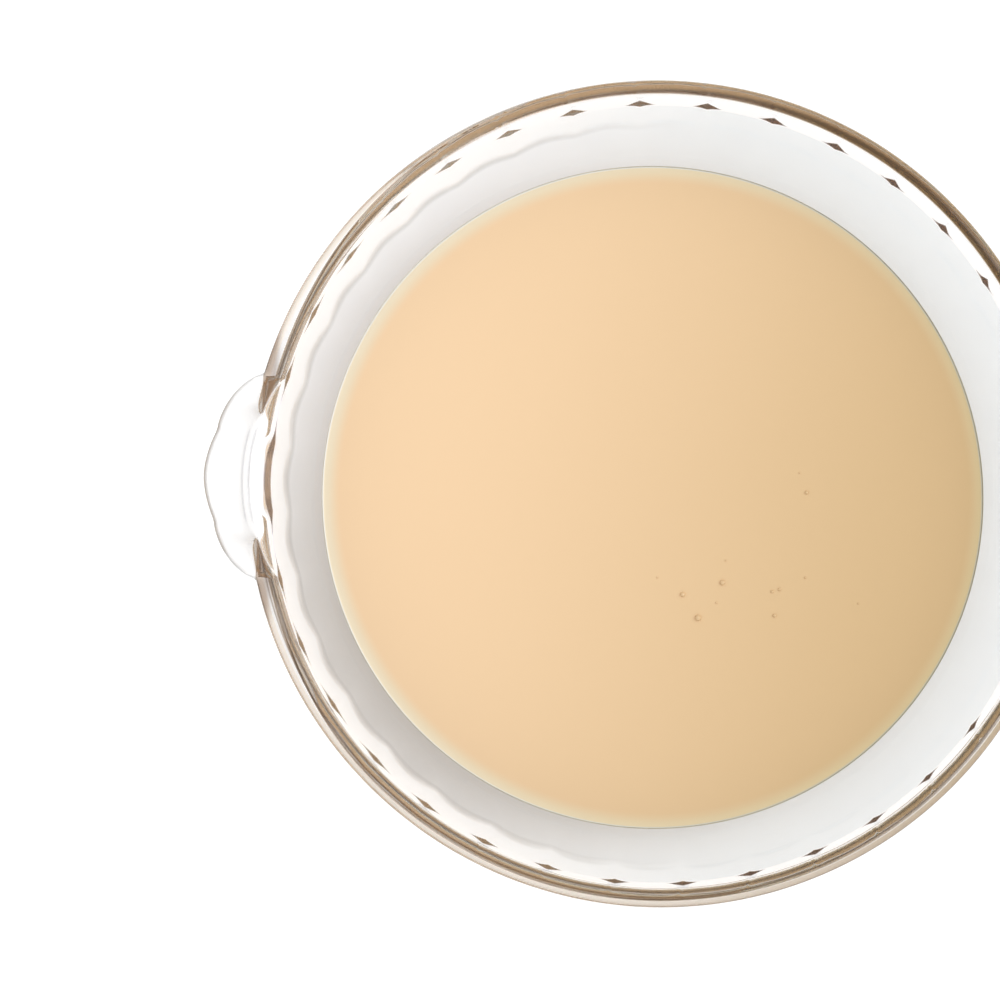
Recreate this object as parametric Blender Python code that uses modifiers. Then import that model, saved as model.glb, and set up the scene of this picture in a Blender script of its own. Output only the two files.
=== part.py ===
"""A clear glass pie dish with two tab handles, holding one can's worth of condensed milk.

The dish stands on its foot ring at z = 0, its axis is Z, and its handles point along X.
Sizes below are in millimetres and are turned into Blender's metres by MM.
"""

import math

import bmesh
import bpy
from mathutils import Vector

MM = 0.001

# Driving dimensions of the dish
RIM_RADIUS = 127.0
DISH_HEIGHT = 45.0
FLOOR_HEIGHT = 5.5
WALL_THICKNESS = 4.2
WALL_SLOPE = math.radians(32.6)
INNER_FOOT_RADIUS = 97.6
FLOOR_FILLET = 12.0

# The rim: a steep shoulder leads from the wall up to a half-round bead
BEAD_RADIUS = 2.3
BEAD_UNDERCUT = 0.9
SHOULDER_INNER_HEIGHT = 40.4
SHOULDER_OUTER_HEIGHT = 43.4

# The foot ring under the dish
FOOT_FILLET = 7.0
FOOT_RING_WIDTH = 8.0
FOOT_RECESS = 0.8

# Shallow flutes in the top of the inner wall, between ridges that stand proud of it
FLUTE_COUNT = 36
FLUTE_DEPTH = 1.2
FLUTE_START_HEIGHT = 22.0
FLUTE_LEVELS = 5
STEPS_PER_FLUTE = 4

# The two tab handles, each with a middle lobe and two side lobes
HANDLE_TIP = 140.3
HANDLE_NOTCH = 136.7
HANDLE_LOBE_HALF_WIDTH = 13.9
SIDE_LOBE_ROUNDNESS = 1.6
HANDLE_TOP = 44.4
HANDLE_THICKNESS = 4.8
HANDLE_ROOT = 122.6
HANDLE_EDGE_ROUNDING = 1.2
LOBE_STEPS = 6

# Where the bead gives way to a handle: it is cut off along a straight line, and
# then the shoulder widens into a level ledge that ends in the handle along an arc
BEAD_CUT = 123.1
BEAD_CUT_CLEARANCE = 0.2
LEDGE_ARC_TOP = 126.4
LEDGE_ARC_RADIUS = 54.0
LEDGE_ARC_STEPS = 72

# The milk
MILK_LEVEL = 15.5
MENISCUS_RISE = 0.6
MENISCUS_WIDTH = 4.0
MILK_GAP = 0.3

ARC_STEPS = 4
SHARP_ANGLE = math.radians(35)
FLAT_ANGLE = math.radians(0.5)
MERGE_DISTANCE = 0.00001


def clear_scene():
    for obj in list(bpy.data.objects):
        bpy.data.objects.remove(obj)


def new_collection(name):
    collection = bpy.data.collections.new(name)
    bpy.context.scene.collection.children.link(collection)
    return collection


def new_material(name, colour, roughness, transmission=0.0):
    material = bpy.data.materials.new(name)
    material.use_nodes = True
    shader = material.node_tree.nodes["Principled BSDF"]
    shader.inputs["Base Color"].default_value = (*colour, 1.0)
    shader.inputs["Roughness"].default_value = roughness
    shader.inputs["Metallic"].default_value = 0.0
    shader.inputs["Transmission Weight"].default_value = transmission
    return material


def arc(centre, radius, start, end, steps):
    """Points (r, z) on an arc, its angles measured from +r towards +z."""
    points = []
    for i in range(steps + 1):
        angle = start + (end - start) * i / steps
        points.append((centre[0] + radius * math.cos(angle), centre[1] + radius * math.sin(angle)))
    return points


def wall_radius(height, offset=0.0):
    """Radius of the sloped inner wall at a height; offset moves the wall outwards, square to itself."""
    at_floor = INNER_FOOT_RADIUS + offset / math.cos(WALL_SLOPE)
    return at_floor + (height - FLOOR_HEIGHT) * math.tan(WALL_SLOPE)


def wall_height(radius, offset=0.0):
    """Height at which the sloped wall reaches a radius; offset is as in wall_radius."""
    return FLOOR_HEIGHT + (radius - wall_radius(FLOOR_HEIGHT, offset)) / math.tan(WALL_SLOPE)


def fillet_to_wall(floor, radius, offset):
    """The arc that leads from a flat floor at this height into the sloped wall."""
    turn = math.pi / 2 - WALL_SLOPE
    tangent = radius * math.tan(turn / 2)
    centre = (wall_radius(floor, offset) - tangent, floor + radius)
    return arc(centre, radius, -math.pi / 2, -math.pi / 2 + turn, ARC_STEPS)


def dish_profile():
    """The dish's half section, from the middle of its floor over the rim to the middle of its underside."""
    bead_centre = (RIM_RADIUS - BEAD_RADIUS, DISH_HEIGHT - BEAD_RADIUS)
    bead_start = math.asin((SHOULDER_OUTER_HEIGHT - bead_centre[1]) / BEAD_RADIUS)
    under_bead = RIM_RADIUS - BEAD_UNDERCUT
    ring_outer = fillet_to_wall(0.0, FOOT_FILLET, WALL_THICKNESS)
    ring_inner = ring_outer[0][0] - FOOT_RING_WIDTH

    inside = [(0.0, FLOOR_HEIGHT)] + fillet_to_wall(FLOOR_HEIGHT, FLOOR_FILLET, 0.0)
    for i in range(FLUTE_LEVELS + 1):
        height = FLUTE_START_HEIGHT + (SHOULDER_INNER_HEIGHT - FLUTE_START_HEIGHT) * i / FLUTE_LEVELS
        inside.append((wall_radius(height), height))
    bead = arc(bead_centre, BEAD_RADIUS, math.pi - bead_start, math.pi / 2, ARC_STEPS)
    bead += arc(bead_centre, BEAD_RADIUS, math.pi / 2, 0.0, ARC_STEPS)[1:]
    rim_side = [(under_bead, wall_height(under_bead, WALL_THICKNESS))]
    underside = [
        (ring_inner, 0.0),
        (ring_inner - FOOT_RECESS, FOOT_RECESS),
        (0.0, FOOT_RECESS),
    ]
    return inside + bead + rim_side + ring_outer[::-1] + underside


def milk_profile():
    """The milk's half section: flat on top but for the meniscus that climbs the glass."""
    edge_height = MILK_LEVEL + MENISCUS_RISE
    edge = wall_radius(edge_height, -MILK_GAP)
    bottom = fillet_to_wall(FLOOR_HEIGHT + MILK_GAP, FLOOR_FILLET, -MILK_GAP)
    surface = [(0.0, MILK_LEVEL), (edge - MENISCUS_WIDTH, MILK_LEVEL)]
    surface.append((edge - MENISCUS_WIDTH / 3, MILK_LEVEL + MENISCUS_RISE / 4))
    return surface + [(edge, edge_height)] + bottom[::-1] + [(0.0, FLOOR_HEIGHT + MILK_GAP)]


def turned(name, profile, steps, collection):
    """A solid turned about Z from a half section in millimetres, by a Screw modifier that is applied."""
    mesh = bpy.data.meshes.new(name)
    points = [Vector((r, 0.0, z)) * MM for r, z in profile]
    mesh.from_pydata(points, [(i, i + 1) for i in range(len(points) - 1)], [])
    obj = bpy.data.objects.new(name, mesh)
    collection.objects.link(obj)
    screw = obj.modifiers.new("Turn", "SCREW")
    screw.axis = "Z"
    screw.steps = screw.render_steps = steps
    screw.use_merge_vertices = True
    screw.merge_threshold = MERGE_DISTANCE
    bake_modifiers(obj)
    return obj


def bake_modifiers(obj):
    """Replaces an object's mesh, or its curve, by the mesh that its modifiers give."""
    bpy.context.view_layer.update()
    graph = bpy.context.evaluated_depsgraph_get()
    mesh = bpy.data.meshes.new_from_object(obj.evaluated_get(graph))
    obj.modifiers.clear()
    obj.data = mesh


def flute_reach(radius, height):
    """How deep the flutes are at a point of the dish, from 0 to 1; they are on the inner wall alone."""
    on_the_outside = radius > wall_radius(height) + WALL_THICKNESS / 2
    if on_the_outside or height > SHOULDER_INNER_HEIGHT + BEAD_UNDERCUT:
        return 0.0
    share = (height - FLUTE_START_HEIGHT) / (SHOULDER_INNER_HEIGHT - FLUTE_START_HEIGHT)
    share = max(0.0, min(1.0, share))
    return share * share * (3 - 2 * share)


def press_flutes(obj):
    """Pushes the top of the inner wall inwards in ridges, with shallow flutes between them."""
    pitch = 2 * math.pi / FLUTE_COUNT
    for vertex in obj.data.vertices:
        x, y, z = vertex.co / MM
        radius = math.hypot(x, y)
        if radius < 1.0:
            continue
        across = (math.atan2(y, x) / pitch + 0.5) % 1.0
        ridge = (2 * across - 1) ** 2
        push = FLUTE_DEPTH * ridge * flute_reach(radius, z)
        vertex.co.x *= (radius - push) / radius
        vertex.co.y *= (radius - push) / radius


def side_lobe(share):
    """A point of a side lobe: from the notch round to the corner where it meets the rim."""
    angle = share * math.pi / 2
    power = 2 / SIDE_LOBE_ROUNDNESS
    depth = HANDLE_NOTCH - BEAD_CUT
    width = math.sqrt(RIM_RADIUS**2 - BEAD_CUT**2) - HANDLE_LOBE_HALF_WIDTH
    x = BEAD_CUT + depth * max(0.0, math.cos(angle)) ** power
    return x, HANDLE_LOBE_HALF_WIDTH + width * math.sin(angle) ** power


def handle_outline():
    """Half of the handle's outline as (x, y): the middle lobe, a side lobe and the root inside the rim."""
    points = []
    for i in range(LOBE_STEPS):
        share = i / LOBE_STEPS
        rise = HANDLE_TIP - HANDLE_NOTCH
        points.append((HANDLE_TIP - rise * share**1.8, HANDLE_LOBE_HALF_WIDTH * share))
    points += [side_lobe(i / LOBE_STEPS) for i in range(LOBE_STEPS + 1)]
    return points + [(HANDLE_ROOT, points[-1][1] - 1.0), (HANDLE_ROOT, 0.0)]


def handle_plate(side, collection):
    """One tab handle as a flat outline with thickness; side is 1 for +X and -1 for -X."""
    half = handle_outline()
    outline = half + [(x, -y) for x, y in half[-2:0:-1]]
    curve = bpy.data.curves.new("handle", "CURVE")
    curve.dimensions = "2D"
    curve.fill_mode = "BOTH"
    curve.extrude = HANDLE_THICKNESS * MM / 2
    spline = curve.splines.new("POLY")
    spline.points.add(len(outline) - 1)
    for point, (x, y) in zip(spline.points, outline):
        point.co = (x * MM, y * MM, 0.0, 1.0)
    spline.use_cyclic_u = True
    flat = bpy.data.objects.new("handle_outline", curve)
    collection.objects.link(flat)
    bpy.context.view_layer.update()
    graph = bpy.context.evaluated_depsgraph_get()
    mesh = bpy.data.meshes.new_from_object(flat.evaluated_get(graph))
    bpy.data.objects.remove(flat)

    shape = bmesh.new()
    shape.from_mesh(mesh)
    bmesh.ops.remove_doubles(shape, verts=shape.verts, dist=MERGE_DISTANCE)
    bmesh.ops.dissolve_limit(shape, angle_limit=FLAT_ANGLE, verts=shape.verts, edges=shape.edges)
    shape.to_mesh(mesh)
    shape.free()
    plate = bpy.data.objects.new("handle_plate", mesh)
    collection.objects.link(plate)
    plate.location.z = (HANDLE_TOP - HANDLE_THICKNESS / 2) * MM
    plate.rotation_euler.z = 0.0 if side > 0 else math.pi
    rounding = plate.modifiers.new("Rounding", "BEVEL")
    rounding.width = HANDLE_EDGE_ROUNDING * MM
    rounding.segments = 2
    rounding.limit_method = "ANGLE"
    rounding.angle_limit = math.radians(60)
    as_helper(plate)


def as_helper(obj):
    obj.hide_render = True
    obj.display_type = "WIRE"


def bead_cutter(side, collection):
    """A block over one handle that takes off the bead beyond a straight line."""
    mesh = bpy.data.meshes.new("bead_cutter")
    shape = bmesh.new()
    bmesh.ops.create_cube(shape, size=1.0)
    size = (HANDLE_TIP - BEAD_CUT, RIM_RADIUS, DISH_HEIGHT - HANDLE_TOP + 2 * BEAD_CUT_CLEARANCE)
    bmesh.ops.scale(shape, vec=Vector(size) * MM, verts=shape.verts)
    shape.to_mesh(mesh)
    shape.free()
    block = bpy.data.objects.new("bead_cutter", mesh)
    collection.objects.link(block)
    block.location = Vector((side * (HANDLE_TIP + BEAD_CUT) / 2, 0.0, (DISH_HEIGHT + HANDLE_TOP) / 2)) * MM
    as_helper(block)


def ledge_cutter(side, collection):
    """A disc that widens the shoulder into a ledge at one handle, along an arc."""
    mesh = bpy.data.meshes.new("ledge_cutter")
    shape = bmesh.new()
    depth = 2 * (DISH_HEIGHT - SHOULDER_OUTER_HEIGHT) * MM
    radius = LEDGE_ARC_RADIUS * MM
    bmesh.ops.create_cone(
        shape, cap_ends=True, segments=LEDGE_ARC_STEPS, radius1=radius, radius2=radius, depth=depth
    )
    shape.to_mesh(mesh)
    shape.free()
    disc = bpy.data.objects.new("ledge_cutter", mesh)
    collection.objects.link(disc)
    disc.location = Vector((side * (LEDGE_ARC_TOP - LEDGE_ARC_RADIUS), 0.0, DISH_HEIGHT)) * MM
    as_helper(disc)


def combine(obj, others, operation):
    """Cuts a solid by all the helpers of a collection, or joins it with them, and removes the helpers."""
    modifier = obj.modifiers.new("Combine", "BOOLEAN")
    modifier.operation = operation
    modifier.solver = "EXACT"
    modifier.operand_type = "COLLECTION"
    modifier.collection = others
    bake_modifiers(obj)
    for other in list(others.objects):
        bpy.data.objects.remove(other)


def finish(obj, material):
    obj.data.materials.clear()
    obj.data.materials.append(material)
    obj.data.shade_smooth()
    obj.data.set_sharp_from_angle(angle=SHARP_ANGLE)


def build():
    clear_scene()
    parts = new_collection("pie_dish_of_condensed_milk")
    helpers = new_collection("cutters_and_handles")
    steps = FLUTE_COUNT * STEPS_PER_FLUTE

    dish = turned("glass_dish", dish_profile(), steps, parts)
    press_flutes(dish)
    for make_helper, operation in (
        (bead_cutter, "DIFFERENCE"),
        (handle_plate, "UNION"),
        (ledge_cutter, "DIFFERENCE"),
    ):
        for side in (1, -1):
            make_helper(side, helpers)
        combine(dish, helpers, operation)
    finish(dish, new_material("clear_glass", (0.96, 0.98, 0.97), 0.02, transmission=1.0))

    milk = turned("condensed_milk", milk_profile(), steps, parts)
    finish(milk, new_material("sweet_milk", (0.86, 0.62, 0.36), 0.15))


build()
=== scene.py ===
# %% [markdown]
# # A glass pie dish of condensed milk
#
# This lesson dresses a plain CAD model of a pie dish in the looks of the real one.
# The real dish is pressed from one gob of clear glass, and a shallow layer of
# sweet, thick milk lies in it. Glass has hardly any colour of its own, so all that
# can be seen of it is how its curves bend and mirror what is around it. That makes
# the shape of the rim the most important thing in the whole scene.

# %% Load the frame
import math

import bpy
from mathutils import Matrix, Vector


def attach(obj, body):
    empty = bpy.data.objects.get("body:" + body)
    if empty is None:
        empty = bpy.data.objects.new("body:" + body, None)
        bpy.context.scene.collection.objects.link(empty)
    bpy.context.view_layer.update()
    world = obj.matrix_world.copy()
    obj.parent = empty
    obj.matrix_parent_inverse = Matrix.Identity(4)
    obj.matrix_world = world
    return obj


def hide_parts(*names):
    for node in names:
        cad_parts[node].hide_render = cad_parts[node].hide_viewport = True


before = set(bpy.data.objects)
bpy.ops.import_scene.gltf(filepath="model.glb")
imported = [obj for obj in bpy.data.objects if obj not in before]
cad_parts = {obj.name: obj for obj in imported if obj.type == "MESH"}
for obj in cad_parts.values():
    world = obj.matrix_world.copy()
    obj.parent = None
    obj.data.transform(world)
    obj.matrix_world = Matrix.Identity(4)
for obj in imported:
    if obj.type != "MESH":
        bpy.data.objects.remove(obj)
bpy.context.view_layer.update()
MM = 0.001
print("CAD nodes:", sorted(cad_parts))

# %% [markdown]
# ## Helpers for modelling by hand
#
# Every operator acts on what is selected, so a step starts by deselecting all.
# A turned form starts as one point that is extruded into a chain, like the line
# that a potter's rib would scrape, and is then spun round the axis.


# %% A clean selection
def deselect_all():
    if bpy.context.mode != "OBJECT":
        bpy.ops.object.mode_set(mode="OBJECT")
    bpy.ops.object.select_all(action="DESELECT")


def select_only(obj):
    deselect_all()
    obj.select_set(True)
    bpy.context.view_layer.objects.active = obj


# %% Spin a chain of points round the dish's axis
def spun(name, chain, steps):
    """Spins a chain of (radius, height) points in millimetres, and numbers the rows that they sweep."""
    deselect_all()
    bpy.ops.mesh.primitive_plane_add(size=MM, location=(chain[0][0] * MM, 0, chain[0][1] * MM))
    obj = bpy.context.object
    obj.name = obj.data.name = name
    bpy.ops.object.transform_apply(location=True, rotation=True, scale=True)
    bpy.ops.object.mode_set(mode="EDIT")
    bpy.ops.mesh.select_all(action="SELECT")
    bpy.ops.mesh.merge(type="CENTER")
    for (radius, height), (next_radius, next_height) in zip(chain, chain[1:]):
        step = ((next_radius - radius) * MM, 0, (next_height - height) * MM)
        bpy.ops.mesh.extrude_region_move(TRANSFORM_OT_translate={"value": step})
    bpy.ops.object.mode_set(mode="OBJECT")
    rows = obj.data.attributes.new("row", "INT", "POINT")
    rows.data.foreach_set("value", range(len(chain)))
    bpy.ops.object.mode_set(mode="EDIT")
    bpy.ops.mesh.select_all(action="SELECT")
    bpy.ops.mesh.spin(steps=steps, angle=2 * math.pi, center=(0, 0, 0), axis=(0, 0, 1), use_auto_merge=True)
    bpy.ops.mesh.select_all(action="SELECT")
    bpy.ops.mesh.remove_doubles(threshold=0.002 * MM)
    bpy.ops.mesh.normals_make_consistent(inside=False)
    bpy.ops.object.mode_set(mode="OBJECT")
    return obj


# %% [markdown]
# ## Rounding the corners of a section
#
# Hot glass never fills a sharp corner of its mould, so every corner of the dish is
# a small arc. A Bevel modifier could round them after the spin, but then the rings
# would no longer be numbered, and the flutes need the numbers. So the arcs are
# worked out in the section, before anything is spun.


# %% One rounded corner
def rounded(before, corner, after, radius, steps):
    """The points of an arc that rounds a corner between two neighbours."""
    before, corner, after = Vector(before), Vector(corner), Vector(after)
    back, ahead = before - corner, after - corner
    shorter = min(back.length, ahead.length)
    back.normalize()
    ahead.normalize()
    opening = math.acos(max(-1.0, min(1.0, back.dot(ahead))))
    reach = max(0.02, min(radius / math.tan(opening / 2), 0.48 * shorter))
    start, end = corner + back * reach, corner + ahead * reach
    if opening > math.radians(179.5):
        return [start.lerp(end, i / steps) for i in range(steps + 1)]
    centre = corner + (back + ahead).normalized() * reach / math.cos(opening / 2)
    first = math.atan2(*(start - centre).yx)
    turn = (math.atan2(*(end - centre).yx) - first + math.pi) % (2 * math.pi) - math.pi
    size = (start - centre).length
    angles = [first + turn * i / steps for i in range(steps + 1)]
    return [centre + size * Vector((math.cos(a), math.sin(a))) for a in angles]


def rounded_section(corners):
    """Rounds a list of (point, radius, steps); a corner of no steps stays as it is."""
    points = []
    for i, (point, radius, steps) in enumerate(corners):
        if steps:
            points += rounded(corners[i - 1][0], point, corners[i + 1][0], radius, steps)
        else:
            points.append(Vector(point))
    return points


# %% [markdown]
# ## The wall of the dish
#
# Wall and floor are as in the CAD model: a wall that leans out by a good thirty
# degrees, 4.2 mm thick, over a floor that stands on a narrow foot ring.

# %% Sizes in millimetres
DISH_HEIGHT = 45.0
RIM_RADIUS = 127.0
FLOOR_HEIGHT = 5.5
INNER_FOOT_RADIUS = 97.6
WALL_THICKNESS = 4.2
WALL_SLOPE = math.radians(32.6)
FLOOR_FILLET = 12.0
FOOT_FILLET = 7.0
FOOT_RING_WIDTH = 11.8
FOOT_RECESS = 0.8


def wall_radius(height, offset=0.0):
    """Radius of the wall at a height; offset moves it outwards, square to itself."""
    rise = (height - FLOOR_HEIGHT) * math.tan(WALL_SLOPE)
    return INNER_FOOT_RADIUS + offset / math.cos(WALL_SLOPE) + rise


def wall_height(radius, offset=0.0):
    return FLOOR_HEIGHT + (radius - wall_radius(FLOOR_HEIGHT, offset)) / math.tan(WALL_SLOPE)


def smooth(share):
    share = max(0.0, min(1.0, share))
    return share * share * (3 - 2 * share)


print("wall, inside, at the milk and at the shoulder:", wall_radius(15.5), wall_radius(40.4))

# %% [markdown]
# ## Flutes, facets and bead
#
# Thirty-six shallow flutes run up the wall and meet in ridges. On top of each
# ridge lies a tiny level facet, and round the facets runs a steep shoulder that
# climbs to a half-round bead. The shoulder bends the light outwards, and shows the
# bright table. The facets let it fall straight down into the wall, which leads it
# to the milk: that is why the rim of such a dish carries a row of dark diamonds.
# The glass material also paints the diamonds in as dark shade.

# %% Sizes of flutes and rim
FLUTE_PITCH = 10.0
FLUTE_DEPTH = 0.4
FLUTE_FOOT_HEIGHT = 33.0
FLUTE_FOOT_WAVE = 0.8
RIDGE_HEIGHT = 0.6
RIDGE_START_HEIGHT = 22.0
SHOULDER_INNER_HEIGHT = 40.4
SHOULDER_OUTER_HEIGHT = 43.4
FACET_WIDTH = 1.35
FACET_HALF_ANGLE = 1.2
BEAD_INNER_RADIUS = 121.8
BEAD_UNDERCUT = 0.7
BEAD_LIP = 0.15

# %% [markdown]
# ## The handles
#
# A handle is a flat tab with three lobes. The bead stops at it along a straight
# line, and the ledge inside the bead runs on into the tab along an arc.

# %% Sizes and outline of a handle
BEAD_CUT = 123.1
HANDLE_TIP = 140.3
HANDLE_NOTCH = 136.7
HANDLE_LOBE_HALF_WIDTH = 13.9
SIDE_LOBE_ROUNDNESS = 1.6
HANDLE_TOP = 44.4
HANDLE_UNDERSIDE = 39.6
HANDLE_EDGE_ROUNDING = 2.3
LEDGE_ARC_TOP = 126.4
LEDGE_ARC_RADIUS = 54.0
LEDGE_WIDTH_AT_HANDLE = 2.0
ROOT_IN_THE_MIDDLE = 37.5
ROOT_AT_THE_SIDES = 42.0


def handle_outline():
    """Half of the outline as pairs of angle in degrees and radius, from the tip to the rim."""
    points = []
    for i in range(60):
        share = i / 60
        points.append((HANDLE_TIP - (HANDLE_TIP - HANDLE_NOTCH) * share**1.8, HANDLE_LOBE_HALF_WIDTH * share))
    width = math.sqrt(RIM_RADIUS**2 - BEAD_CUT**2) - HANDLE_LOBE_HALF_WIDTH
    for i in range(241):
        angle = math.pi / 2 * i / 240
        power = 2 / SIDE_LOBE_ROUNDNESS
        x = BEAD_CUT + (HANDLE_NOTCH - BEAD_CUT) * max(0.0, math.cos(angle)) ** power
        points.append((x, HANDLE_LOBE_HALF_WIDTH + width * math.sin(angle) ** power))
    return [(math.degrees(math.atan2(y, x)), math.hypot(x, y)) for x, y in points]


outline = handle_outline()
print("a handle reaches", outline[-1][0], "degrees to either side of its tip")


def handle_reach(turn):
    """Radius of the tab's outline at an angle from the handle's middle; the rim's beyond it."""
    for (angle, radius), (next_angle, next_radius) in zip(outline, outline[1:]):
        if angle <= turn < next_angle:
            share = (turn - angle) / (next_angle - angle)
            return max(RIM_RADIUS, radius + (next_radius - radius) * share)
    return RIM_RADIUS


def ledge_arc(turn):
    """Radius of the arc along which the ledge ends in a handle, or 0 away from the handles."""
    if turn > 40:
        return 0.0
    angle = math.radians(turn)
    centre = LEDGE_ARC_TOP - LEDGE_ARC_RADIUS
    return centre * math.cos(angle) + math.sqrt(LEDGE_ARC_RADIUS**2 - (centre * math.sin(angle)) ** 2)


# %% [markdown]
# ## The section at each angle
#
# A real dish of this kind comes out of a mould, and no cutter could turn its
# flutes or its handles. Here the mould is a rule that gives the section at any
# angle. The spun dish is round at first, and then each of its rings is pressed to
# the section at its own angle.
#
# The bead isn't the same all round. At the right and top it is full, so that it
# shows one broad brown band. At the left and bottom it is cut back more beneath,
# which lets the table show through it and leaves thin lines. The glass material
# adds painted brown and dark shade to the band and to the lines.


# %% The mould
def dish_section(azimuth):
    """The section at an angle in degrees, counted from the right handle's middle."""
    mirrored = min(azimuth, 360 - azimuth)
    turn = min(mirrored, 180 - mirrored)
    left = smooth((mirrored - 95) / 45)
    free = smooth((azimuth - 100) / 45) * smooth((350 - azimuth) / 25)
    angle = math.radians(turn)
    across = (turn / FLUTE_PITCH + 0.5) % 1.0
    ridge = (2 * across - 1) ** 2
    sharp_ridge = ridge ** (3.0 - 2.0 * left)
    half_angle = FACET_HALF_ANGLE + 0.6 * smooth((mirrored - 35) / 50)
    facet = max(0.0, 1 - min(across, 1 - across) * FLUTE_PITCH / half_angle)
    facet_width = (FACET_WIDTH - 0.75 * max(left, 0.7 * free)) * facet
    undercut = BEAD_UNDERCUT + free * 1.6 + left * 1.3 * smooth((45 - turn) / 30)
    in_the_middle = smooth((6.5 - turn) / 2.5)
    ledge_width = LEDGE_WIDTH_AT_HANDLE * max(0.0, 1 - (turn / 6.4) ** 2)
    at_step = smooth((9.0 - turn) / 3.0)

    tab = handle_reach(turn)
    at_tab = smooth((tab - RIM_RADIUS) / 0.5)
    plain_inner = BEAD_INNER_RADIUS - 0.6 * free
    bead_inner = max(plain_inner, ledge_arc(turn))
    flare = smooth((bead_inner - plain_inner) / 1.0)
    bead_outer = RIM_RADIUS
    crest = DISH_HEIGHT
    if at_tab > 0:
        chord = min(RIM_RADIUS, BEAD_CUT / math.cos(angle))
        share = max(0.0, min(1.0, (chord - bead_inner) / (RIM_RADIUS - plain_inner)))
        crest = HANDLE_TOP + 0.03 + (DISH_HEIGHT - HANDLE_TOP - 0.03) * math.sqrt(1 - (1 - share) ** 2)
        bead_outer = max(chord, bead_inner + 0.5 + 1.6 * at_step)

    def blend(at_handle, at_rim):
        return at_handle * at_tab + at_rim * (1 - at_tab)

    def between(start, end, share):
        return start + (end - start) * share

    root = between(ROOT_IN_THE_MIDDLE, ROOT_AT_THE_SIDES, smooth((turn - 7.5) / 3.0))
    rim_root = wall_height(RIM_RADIUS - undercut, WALL_THICKNESS)
    lip = max(42.7, rim_root + BEAD_LIP)
    root_radius = blend(wall_radius(root, WALL_THICKNESS), RIM_RADIUS - undercut)
    root_height = blend(root, between(rim_root, lip - 0.25, free))
    below = blend(root - 1.2, rim_root - 0.6)

    corners = [((0.0, FLOOR_HEIGHT), 0, 0), ((wall_radius(FLOOR_HEIGHT), FLOOR_HEIGHT), FLOOR_FILLET, 10)]
    flute_foot = FLUTE_FOOT_HEIGHT - FLUTE_FOOT_WAVE * ridge
    heights = [16, 20, 24, 28] + [flute_foot + step for step in (0, 0.4, 0.8, 1.2, 1.6, 2.0)]
    heights += [between(heights[-1], SHOULDER_INNER_HEIGHT, i / 4) for i in (1, 2, 3)]
    for height in heights:
        hollow = smooth((height - flute_foot) / 2.0)
        hollow *= (SHOULDER_INNER_HEIGHT - height) / (SHOULDER_INNER_HEIGHT - flute_foot)
        rise = smooth((height - RIDGE_START_HEIGHT) / (SHOULDER_INNER_HEIGHT - RIDGE_START_HEIGHT))
        push = FLUTE_DEPTH * hollow * (1 - 0.7 * ridge) - RIDGE_HEIGHT * sharp_ridge * rise
        corners.append(((wall_radius(height) + push, height), 0, 0))
    edge = wall_radius(SHOULDER_INNER_HEIGHT)
    facet_end = edge + 0.06 + max(facet_width, ledge_width)
    shoulder = plain_inner - 0.3 * (1 - flare)
    shoulder_share = max(0.0, (shoulder - facet_end) / (plain_inner - facet_end))
    shoulder = max(shoulder, facet_end + 0.02)
    start = SHOULDER_OUTER_HEIGHT + 0.1 * flare + 0.7 * free * (1 - flare)
    shoulder_height = between(SHOULDER_INNER_HEIGHT + 0.1, start, shoulder_share)
    shoulder = between(shoulder, bead_inner - 0.8, in_the_middle)
    corners += [
        ((edge - RIDGE_HEIGHT * sharp_ridge, SHOULDER_INNER_HEIGHT), 0.4, 6),
        ((facet_end, SHOULDER_INNER_HEIGHT + 0.1), 0.3, 4),
        ((shoulder, shoulder_height), 0.3, 2),
    ]
    side = blend(HANDLE_TOP, lip + 0.25)
    top = between(bead_inner, bead_outer, 0.4)
    for i in range(14):
        quarter = math.pi / 2 * i / 13
        reach = (top - bead_inner) * (1 - math.cos(quarter))
        corners.append(((bead_inner + reach, start + (crest - start) * math.sin(quarter)), 0, 0))
    for i in range(1, 14):
        quarter = math.pi / 2 * i / 13
        reach = (bead_outer - top) * math.sin(quarter)
        corners.append(((top + reach, side + (crest - side) * math.cos(quarter)), 0, 0))
    corners += [
        ((tab, blend(HANDLE_TOP, lip + 0.15)), HANDLE_EDGE_ROUNDING, 6),
        ((tab, blend(HANDLE_UNDERSIDE, lip)), HANDLE_EDGE_ROUNDING, 6),
        ((root_radius, root_height), 0.3, 4),
        ((wall_radius(below, WALL_THICKNESS), below), 0.3, 3),
    ]
    for i in range(1, 10):
        height = below - (below - 8) * i / 10
        corners.append(((wall_radius(height, WALL_THICKNESS), height), 0, 0))
    foot = wall_radius(0.0, WALL_THICKNESS)
    corners += [
        ((foot, 0.0), FOOT_FILLET, 8),
        ((foot - FOOT_RING_WIDTH, 0.0), 0.4, 3),
        ((foot - FOOT_RING_WIDTH - FOOT_RECESS, FOOT_RECESS), 0.4, 3),
        ((0.0, FOOT_RECESS), 0, 0),
    ]
    return rounded_section(corners)


plain_section = dish_section(90.0)
print("points in a section:", len(plain_section))

# %% [markdown]
# ## Spin the dish and press it
#
# The chain of the section is spun in half-degree steps, so that a flute gets
# twenty of them. Then every point is moved to its place in its own section.

# %% Spin and press
SPIN_STEPS = 720

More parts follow.
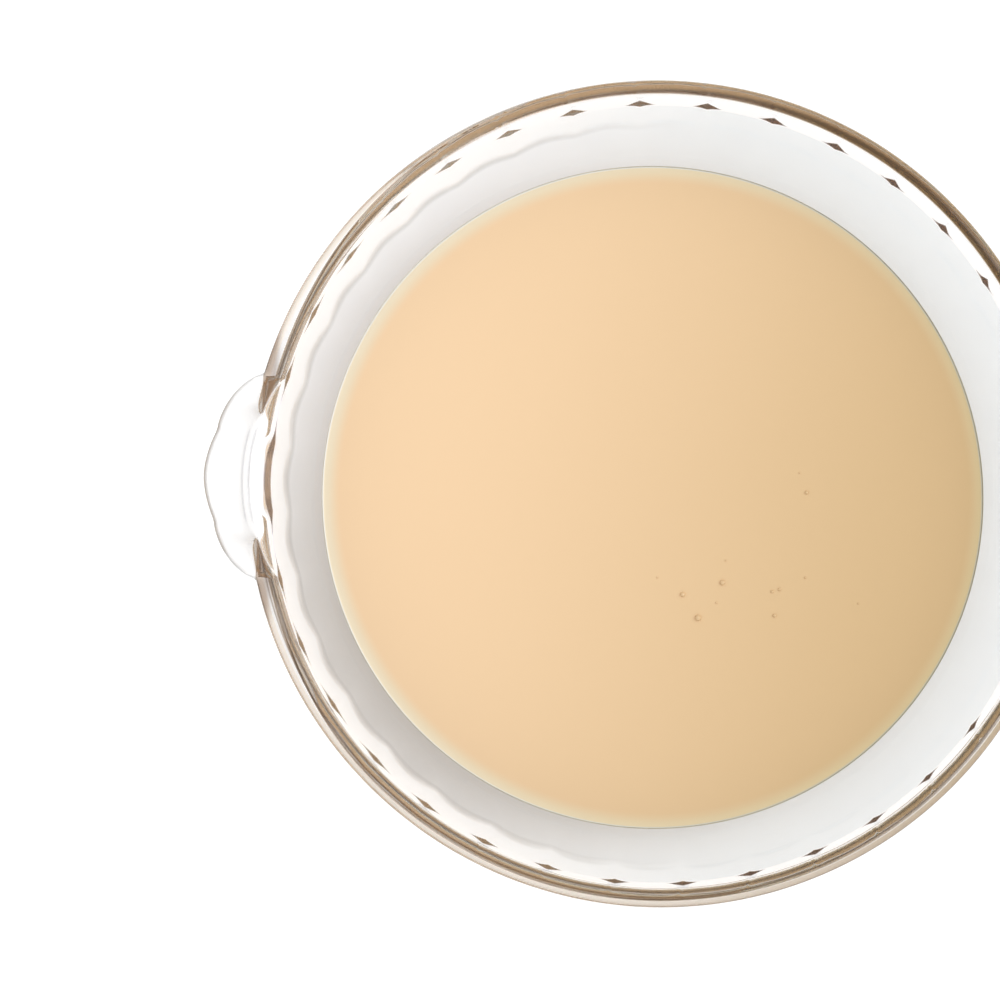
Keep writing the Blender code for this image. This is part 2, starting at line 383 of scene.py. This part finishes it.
glass = spun("clear_glass_dish", plain_section, SPIN_STEPS)
sections = {}
for vertex, row in zip(glass.data.vertices, glass.data.attributes["row"].data):
    radius = vertex.co.xy.length
    if radius < MM:
        continue
    step = round(math.degrees(math.atan2(vertex.co.y, vertex.co.x)) * SPIN_STEPS / 360) % SPIN_STEPS
    if step not in sections:
        sections[step] = dish_section(step * 360 / SPIN_STEPS)
    new_radius, height = sections[step][row.value]
    angle = math.radians(step * 360 / SPIN_STEPS)
    vertex.co = Vector((new_radius * math.cos(angle), new_radius * math.sin(angle), height)) * MM
glass.data.attributes.remove(glass.data.attributes["row"])
select_only(glass)
bpy.ops.object.shade_smooth()
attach(glass, "root")
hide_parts("glass_dish")
print("faces of the dish:", len(glass.data.polygons))

# %% [markdown]
# ## The milk
#
# Thick milk finds its level, and only climbs the glass a little at its edge. It
# fills the foot of the dish without a gap, so its sides reach just into the glass:
# a gap of air there would show as a silvery ring.

# %% Spin the milk
MILK_LEVEL = 15.5
MENISCUS_RISE = 0.9
INTO_THE_GLASS = 0.05


def milk_section():
    level = MILK_LEVEL
    edge = wall_radius(level + MENISCUS_RISE) + INTO_THE_GLASS
    bottom = FLOOR_HEIGHT - INTO_THE_GLASS
    corners = [((radius, level), 0, 0) for radius in (0, 30, 60, 85, 96)]
    corners += [((edge - 3.2, level + 0.02), 0, 0), ((edge - 2.0, level + 0.07), 0, 0)]
    corners += [((edge - 1.1, level + 0.18), 0, 0), ((edge - 0.5, level + 0.36), 0, 0)]
    corners += [((edge - 0.15, level + 0.6), 0, 0)]
    corners += [((edge, level + MENISCUS_RISE), 0, 0)]
    corners += [((wall_radius(bottom) + INTO_THE_GLASS, bottom), FLOOR_FILLET, 10)]
    return rounded_section(corners + [((0.0, bottom), 0, 0)])


milk = spun("sweet_condensed_milk", milk_section(), 360)
milk.data.attributes.remove(milk.data.attributes["row"])
print("faces of the milk:", len(milk.data.polygons))

# %% [markdown]
# ## Bubbles
#
# Pouring drags in a little air. The bubbles that have come up and burst leave
# small round pits. Small balls are cut out of the milk's surface, so that light
# and shade come from the form itself.

# %% Cut the pits
BUBBLES = [
    (15.2, -38.0, 1.0), (22.6, -26.6, 0.85), (10.1, -30.8, 0.8), (48.4, 2.8, 0.6), (39.4, -36.4, 0.6),
    (40.7, -28.1, 0.55), (38.4, -28.9, 0.5), (20.9, -33.0, 0.35), (23.4, -19.6, 0.3), (2.0, -25.7, 0.3),
    (46.0, 8.9, 0.3), (48.7, -24.1, 0.35), (65.8, -31.7, 0.3),
]

balls = []
for x, y, size in BUBBLES:
    deselect_all()
    place = Vector((x, y, MILK_LEVEL + 0.15 * size)) * MM
    bpy.ops.mesh.primitive_uv_sphere_add(segments=24, ring_count=12, radius=size * MM, location=place)
    balls.append(bpy.context.object)
deselect_all()
for ball in balls:
    ball.select_set(True)
bpy.context.view_layer.objects.active = balls[0]
bpy.ops.object.join()
cutter = bpy.context.object
cut = milk.modifiers.new("Pits", "BOOLEAN")
cut.object = cutter
cut.operation = "DIFFERENCE"
cut.solver = "EXACT"
select_only(milk)
bpy.ops.object.modifier_apply(modifier="Pits")
bpy.data.objects.remove(cutter)
select_only(milk)
bpy.ops.object.shade_smooth_by_angle(angle=math.radians(35))
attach(milk, "root")
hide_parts("condensed_milk")
print("faces of the milk with its pits:", len(milk.data.polygons))

# %% [markdown]
# ## Shader maths as Python
#
# A material is a net of nodes, and much of it is plain arithmetic. This small
# class wraps an output socket, so that an expression such as 1 - mask adds the
# Math nodes by itself.


# %% A socket that can be calculated with
class Value:
    def __init__(self, tree, socket):
        self.tree = tree
        self.socket = socket

    def maths(self, operation, *others):
        node = self.tree.nodes.new("ShaderNodeMath")
        node.operation = operation
        for slot_, other in zip(node.inputs, (self, *others)):
            plug(self.tree, slot_, other)
        return Value(self.tree, node.outputs[0])

    def __add__(self, other):
        return self.maths("ADD", other)

    def __sub__(self, other):
        return self.maths("SUBTRACT", other)

    def __rsub__(self, other):
        return (self * -1) + other

    def __mul__(self, other):
        return self.maths("MULTIPLY", other)

    def __truediv__(self, other):
        return self.maths("DIVIDE", other)

    __radd__ = __add__
    __rmul__ = __mul__


def plug(tree, socket, value):
    """Links a wrapped socket into a socket, or sets a plain value on it."""
    if isinstance(value, Value):
        tree.links.new(value.socket, socket)
    else:
        socket.default_value = value


class Material:
    """A material whose nodes are added one line at a time."""

    def __init__(self, name):
        self.material = bpy.data.materials.new(name)
        self.material.use_nodes = True
        self.tree = self.material.node_tree
        self.shader = self.tree.nodes["Principled BSDF"]
        self.output = self.tree.nodes["Material Output"]

    def node(self, kind, settings=None, **inputs):
        node = self.tree.nodes.new("ShaderNode" + kind)
        for key, value in (settings or {}).items():
            setattr(node, key, value)
        for key, value in inputs.items():
            plug(self.tree, node.inputs[key.replace("_", " ")], value)
        return node

    def value(self, node, output=0):
        return Value(self.tree, node.outputs[output])

    def set(self, **inputs):
        for key, value in inputs.items():
            plug(self.tree, self.shader.inputs[key.replace("_", " ")], value)

    def mix(self, factor, first, second):
        node = self.tree.nodes.new("ShaderNodeMix")
        node.data_type = "RGBA"
        plug(self.tree, node.inputs["Factor"], factor)
        plug(self.tree, node.inputs["A"], first)
        plug(self.tree, node.inputs["B"], second)
        return Value(self.tree, node.outputs["Result"])

    def tinted(self, factor, colour, tint):
        result = self.mix(factor, colour, tint)
        result.socket.node.blend_type = "MULTIPLY"
        return result

    def ramp(self, value, start, end):
        """0 at the start and 1 at the end, with a soft slope between them."""
        settings = {"interpolation_type": "SMOOTHSTEP"}
        return self.value(self.node("MapRange", settings, Value=value, From_Min=start, From_Max=end))

    def line(self, value, centre, half_width):
        return self.ramp((value - centre).maths("ABSOLUTE"), half_width, 0.0)


# %% [markdown]
# ## Clear pressed glass
#
# Pressed glass is smooth, but never quite flat: the mould leaves a faint ripple.
# A ray of shadow can't bend in Cycles, so glass would cast a black shadow. A Mix
# Shader lets those rays pass almost freely and keeps true glass for all others.
#
# Thick glass swallows a little light, and a faint warm absorption fills it. On
# top of what the bends do, soft tints on the glass colour paint light and shade:
# painted brown, cream and dark shade in the bead, painted dark diamonds on the
# facets, painted grey shade on the lower wall and along the foot of the flutes, a
# painted bluish shade on the ledge in the handle, two faint painted dark arcs where
# the handle steps up, painted dark lines along the handle's outline, and painted
# shade wherever the view grazes the glass. Each tint has a share from 0 to 1, made
# from places in millimetres; the grazing shade's share comes from the angle of the view.

# %% Glass
clear = Material("clear_pressed_glass")
place = clear.value(clear.node("TexCoord"), "Object")
parts = clear.node("SeparateXYZ", Vector=place)
x, y, z = (clear.value(parts, axis) * 1000 for axis in "XYZ")
radius = (x * x + y * y).maths("SQRT")
left = clear.ramp(x, 30, -80)
along = x.maths("ABSOLUTE")
from_arc = along - (LEDGE_ARC_TOP - LEDGE_ARC_RADIUS)
from_arc = (from_arc * from_arc + y * y).maths("SQRT")
# The masks below place the painted light and shade of the tints further down.
on_top = clear.ramp(z, 42.8, 43.3)
rim = on_top * clear.ramp(along, 123.5, 122.9)
rim = rim * clear.ramp(from_arc, LEDGE_ARC_RADIUS - 0.2, LEDGE_ARC_RADIUS + 0.4)
bead = rim * clear.ramp(radius, 122.4, 122.9)
free = clear.ramp(x, -40, -90).maths("MAXIMUM", clear.ramp(y, -5, -60))
bead_inside = bead * clear.ramp(radius - x * 0.012, 125.05, 123.35) * (1 - free)
bead_crown = bead * clear.ramp(radius, 126.8, 125.0) * (1 - free)
inner_line = rim * clear.line(radius, 122.3, 0.75) * free
outer_line = rim * clear.line(radius, 123.95, 0.6) * free * clear.ramp(y, 60, -60)
bead_far = bead * clear.ramp(radius, 124.6, 125.2) * free
bead_outside = bead_far * clear.ramp(x, -90, 110)
bead_edge = bead * clear.ramp(radius, 125.9, 126.4) * (1 - free)
bead_ends = bead * clear.ramp(along, 117.0, 120.0)
ridge = 0.5 - 0.5 * (y.maths("ARCTAN2", x) * 36).maths("COSINE")
foot = FLUTE_FOOT_HEIGHT - FLUTE_FOOT_WAVE * ridge
on_wall = clear.ramp(radius - wall_radius(0.0) - z * math.tan(WALL_SLOPE), 2.4, 1.8)
on_wall = on_wall * clear.ramp(z, 40.3, 39.8)
lower_wall = on_wall * clear.ramp(z - foot, 0.8, -1.2)
flute_foot_line = on_wall * clear.line(z - foot, 0.0, 1.8) * clear.ramp(x, 10, -60)
ledge = clear.line(z, 40.45, 0.3) * clear.ramp(radius, 119.3, 119.6) * clear.ramp(radius, 122.4, 122.0)
# Painted shade: the dark diamonds on the level facets of the ridges.
painted_facet_shade = ledge * clear.ramp(ridge, 0.45, 0.85)
handle_ledge = ledge * clear.ramp(along, 116, 118)
low_side_shade = lower_wall * clear.ramp(y, 40, -60) * left
steps = clear.line(from_arc, LEDGE_ARC_RADIUS + 0.2, 0.8) + clear.line(from_arc, LEDGE_ARC_RADIUS + 2.1, 0.7)
steps = steps * on_top * clear.ramp(y.maths("ABSOLUTE"), 17.0, 12.0) * clear.ramp(along, 122.0, 124.0)
painted_tab_outline = clear.ramp(z, 44.3, 43.4) * clear.ramp(z, 42.3, 42.7)
painted_tab_outline = painted_tab_outline * clear.ramp(radius, 126.1, 126.5) * clear.ramp(along, 119, 121)
tab_corner = on_top * clear.line(y.maths("ABSOLUTE") + along * 0.27, 64.3, 0.6)
tab_corner = tab_corner * clear.ramp(along, 122.4, 123.0) * clear.ramp(along, 129.0, 126.5)
painted_tab_outline = painted_tab_outline.maths("MAXIMUM", tab_corner)
# Painted shade: the glass darkens where the view grazes its surface.
grazing_painted_shade = clear.ramp(clear.value(clear.node("LayerWeight", Blend=0.5), "Facing"), 0.72, 1.0)
# The glass is white of itself; each tint below paints light or shade onto it.
glass_colour_and_painted_light = (1.0, 1.0, 1.0, 1.0)
for share, tint in (
    (bead_inside, (0.15, 0.11, 0.095, 1.0)),
    (bead_inside * clear.ramp(x, -20, 50), (0.42, 0.28, 0.06, 1.0)),
    (bead_crown, (0.92, 0.82, 0.70, 1.0)),
    (bead_edge, (0.80, 0.74, 0.66, 1.0)),
    (bead_far, (0.98, 0.86, 0.72, 1.0)),
    (inner_line, (0.19, 0.18, 0.18, 1.0)),
    (outer_line, (0.18, 0.11, 0.06, 1.0)),
    (bead_outside, (0.31, 0.23, 0.14, 1.0)),
    (bead_ends, (0.35, 0.28, 0.24, 1.0)),
    (on_wall * (1 - left), (0.73, 0.78, 0.81, 1.0)),
    (lower_wall * left, (0.78, 0.81, 0.85, 1.0)),
    (low_side_shade, (0.62, 0.60, 0.57, 1.0)),
    (flute_foot_line, (0.60, 0.59, 0.58, 1.0)),
    (painted_facet_shade * (1 - 0.4 * left), (0.08, 0.035, 0.025, 1.0)),
    (handle_ledge, (0.72, 0.74, 1.0, 1.0)),
    (steps, (0.60, 0.60, 0.62, 1.0)),
    (painted_tab_outline, (0.50, 0.50, 0.50, 1.0)),
    (grazing_painted_shade, (0.12, 0.12, 0.12, 1.0)),
):
    glass_colour_and_painted_light = clear.tinted(share, glass_colour_and_painted_light, tint)
clear.set(Base_Color=glass_colour_and_painted_light, Roughness=0.0, IOR=1.5, Transmission_Weight=1.0)
ripple = clear.value(clear.node("TexNoise", Vector=place, Scale=70.0, Detail=1.0))
bump = clear.node("Bump", Strength=0.25, Distance=0.00006, Height=ripple)
clear.set(Normal=clear.value(bump))
passing = clear.node("BsdfTransparent", Color=(0.94, 0.94, 0.94, 1.0))
shadow_ray = clear.value(clear.node("LightPath"), "Is Shadow Ray")
glass_mix = clear.tree.nodes.new("ShaderNodeMixShader")
plug(clear.tree, glass_mix.inputs[0], shadow_ray)
clear.tree.links.new(clear.shader.outputs[0], glass_mix.inputs[1])
clear.tree.links.new(passing.outputs[0], glass_mix.inputs[2])
clear.tree.links.new(glass_mix.outputs[0], clear.output.inputs[0])
depth = clear.node("VolumeAbsorption", Color=(0.84, 0.79, 0.73, 1.0), Density=6.0)
clear.tree.links.new(depth.outputs[0], clear.output.inputs["Volume"])
glass.data.materials.clear()
glass.data.materials.append(clear.material)
print("nodes in the glass:", len(clear.tree.nodes))

# %% [markdown]
# ## Condensed milk
#
# The milk is a warm cream colour. Where it thins out at the edge, more white
# shows through, so a narrow ring there is paler and yellower. The ring follows
# the distance from the dish's axis. Over the whole surface the cream is painted
# darker towards the right, as painted shade, and the ring with it. A thin painted
# highlight runs along the milk's edge at the left and turns into a thin grey line
# towards the right.

# %% Milk
cream = Material("sweet_milk")
place = cream.value(cream.node("TexCoord"), "Object")
parts = cream.node("SeparateXYZ", Vector=place)
across_x = cream.value(parts, "X")
across_y = cream.value(parts, "Y")
radius = (across_x * across_x + across_y * across_y).maths("SQRT")
# Painted shade: the milk's colour darkens towards the right.
to_the_right = cream.ramp(across_x - across_y * 0.2, -0.11, 0.135)
on_level = cream.ramp(cream.value(parts, "Z"), 0.0148, 0.0153)
ring = cream.ramp(radius - to_the_right * 0.0012, 0.0985, 0.1035) * on_level
cloud = cream.value(cream.node("TexNoise", Vector=place, Scale=9.0, Detail=2.0))
body = cream.mix(cloud, (0.97, 0.69, 0.42, 1.0), (0.99, 0.71, 0.44, 1.0))
body = cream.tinted(to_the_right, body, (0.67, 0.65, 0.53, 1.0))
pale = cream.tinted(to_the_right, (0.95, 0.82, 0.60, 1.0), (0.74, 0.68, 0.50, 1.0))
colour = cream.mix(ring, body, pale)
# A painted highlight along the milk's edge at the left, turning into a thin grey line towards the right.
painted_edge_highlight_and_grey_line = cream.line(radius, 0.1043, 0.00045) * on_level
colour = cream.mix(painted_edge_highlight_and_grey_line, colour, cream.mix(to_the_right, (1.0, 0.99, 0.94, 1.0), (0.60, 0.57, 0.45, 1.0)))
cream.set(Base_Color=colour, Roughness=0.14, IOR=1.45)
milk.data.materials.clear()
milk.data.materials.append(cream.material)
print("nodes in the milk:", len(cream.tree.nodes))

# %% [markdown]
# ## A pale table
#
# The dish stands on a white table. Clear glass shows whatever is under it, so the
# table is large enough to fill every direction in which the glass bends the view.
# Away from the dish its colour fades to a dim brown, painted shade that stands for
# the darker room round the table. The table also glows faintly, a painted light
# that lifts the shade near the dish.

# %% Table
deselect_all()
bpy.ops.mesh.primitive_plane_add(size=4.0, location=(0, 0, 0))
table = bpy.context.object
table.name = "table"
white = Material("white_paint")
place = white.value(white.node("TexCoord"), "Object")
grain = white.value(white.node("TexNoise", Vector=place, Scale=60.0, Detail=3.0))
paint = white.mix(grain, (0.88, 0.88, 0.885, 1.0), (0.91, 0.91, 0.91, 1.0))
parts = white.node("SeparateXYZ", Vector=place)
across_x = white.value(parts, "X")
across_y = white.value(parts, "Y")
radius = (across_x * across_x + across_y * across_y).maths("SQRT")
# Painted shade: the table's colour darkens away from the dish.
far = white.node("MapRange", {"interpolation_type": "SMOOTHSTEP"}, Value=radius, From_Min=0.3, From_Max=1.1)
colour = white.mix(white.value(far), paint, (0.56, 0.53, 0.50, 1.0))
# Painted light: the table glows faintly in its own colour, lifting the shade near the dish.
white.set(Base_Color=colour, Roughness=0.7, Emission_Color=colour, Emission_Strength=0.3)
table.data.materials.append(white.material)
print("table:", table.name)

# %% [markdown]
# ## Light
#
# Soft daylight falls from all over the sky, and a little more from a large soft
# window at the right. Low down the room is a little dimmer and warmer, which draws
# a soft line round every edge of the glass.

# %% Sky and window
world = bpy.data.worlds.new("room")
world.use_nodes = True
bpy.context.scene.world = world
tree = world.node_tree
backdrop = tree.nodes["Background"]
direction = tree.nodes.new("ShaderNodeTexCoord")
split = tree.nodes.new("ShaderNodeSeparateXYZ")
ramp = tree.nodes.new("ShaderNodeValToRGB")
tree.links.new(direction.outputs["Generated"], split.inputs[0])
tree.links.new(split.outputs["Z"], ramp.inputs[0])
tree.links.new(ramp.outputs[0], backdrop.inputs[0])
stops = ramp.color_ramp.elements
stops[0].position, stops[0].color = 0.0, (0.46, 0.43, 0.40, 1)
stops[1].position, stops[1].color = 0.6, (1, 1, 1, 1)
middle = stops.new(0.2)
middle.color = (0.50, 0.47, 0.44, 1)
backdrop.inputs["Strength"].default_value = 0.96

lamp = bpy.data.lights.new("window", "AREA")
lamp.shape = "RECTANGLE"
lamp.size = 0.9
lamp.size_y = 0.9
lamp.energy = 4.0
window = bpy.data.objects.new("window", lamp)
bpy.context.collection.objects.link(window)
window.location = (0.95, 0.25, 0.95)
aim = -Vector(window.location)
window.rotation_euler = aim.to_track_quat("-Z", "Y").to_euler()
print("window at", tuple(window.location))

# %% [markdown]
# ## Camera
#
# The picture is taken from a metre straight above, a little to the left of the
# dish. Place, direction and focal length come from the circles of rim, ledge and
# milk, which lie at different heights and so shift against each other.

# %% Camera
camera_data = bpy.data.cameras.new("camera")
camera_data.sensor_width = 36.0
camera_data.lens = 112.36
camera = bpy.data.objects.new("camera", camera_data)
bpy.context.collection.objects.link(camera)
ahead = Vector((0.0414, 0.0522, -0.9978)).normalized()
right = Vector((0.9985, 0.0347, 0.0432))
right = (right - ahead * right.dot(ahead)).normalized()
up = right.cross(ahead)
turned = Matrix((right, up, -ahead)).transposed().to_4x4()
camera.matrix_world = Matrix.Translation((-0.08914, -0.0544, 0.9957)) @ turned
bpy.context.scene.camera = camera
bpy.context.scene.view_settings.view_transform = "Standard"
bpy.context.scene.cycles.max_bounces = 24
bpy.context.scene.cycles.glossy_bounces = 16
bpy.context.scene.cycles.transmission_bounces = 20
print("camera at", tuple(camera.location))
